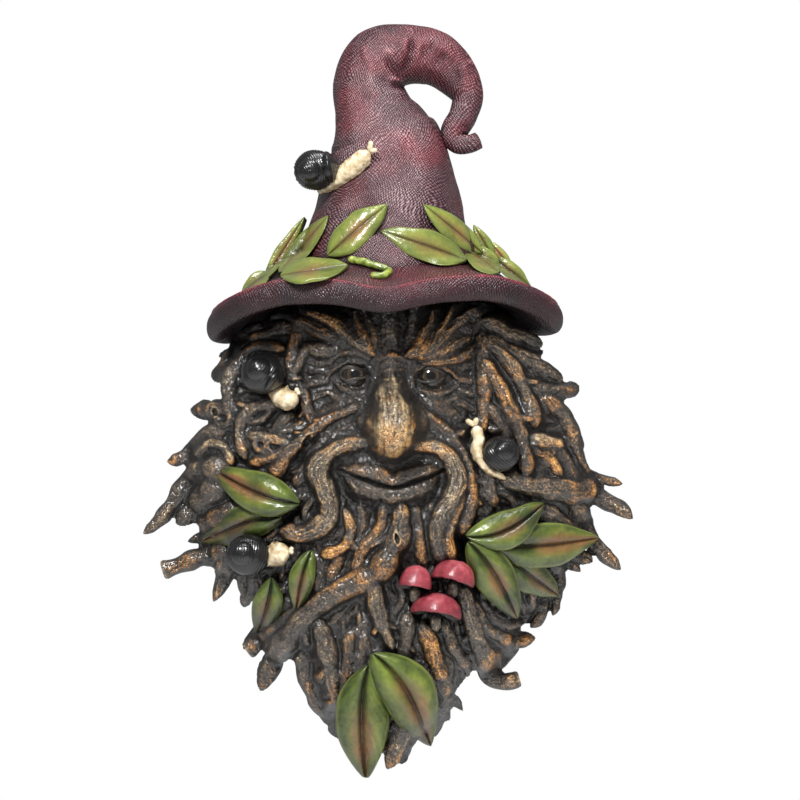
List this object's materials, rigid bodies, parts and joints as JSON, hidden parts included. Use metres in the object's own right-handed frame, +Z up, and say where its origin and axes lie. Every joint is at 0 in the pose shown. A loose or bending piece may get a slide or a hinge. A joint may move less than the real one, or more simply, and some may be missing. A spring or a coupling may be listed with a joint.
{
  "type": "tree face wall plaque",
  "caption": "Hanging tree spirit face of tangled roots under a pointed hat with a curled tip, with leaves, snails and mushrooms, cast in one piece with a flat back.",
  "frame": {"origin": "on the flat back, in the middle of the wall face behind the eyes, where the plaque meets the wall", "axes": "+Y into the wall, -Y towards the viewer, +Z up along the plaque's height, +X to the viewer's right"},
  "size_m": [0.2484, 0.104, 0.3757],
  "materials": {
    "root_bark": "painted polyresin, dark umber with tan and ochre dry-brushing under a satin varnish",
    "hat": "painted polyresin, burgundy with a pale dry-brushed weave",
    "leaf": "painted polyresin, varnished green with brown tips",
    "shell": "painted polyresin, glossy black",
    "snail_body": "painted polyresin, satin cream",
    "mushroom": "painted polyresin, satin red with pale edges"
  },
  "bodies": {
    "root": {"tree_face": "root_bark"}
  },
  "joints": []
}
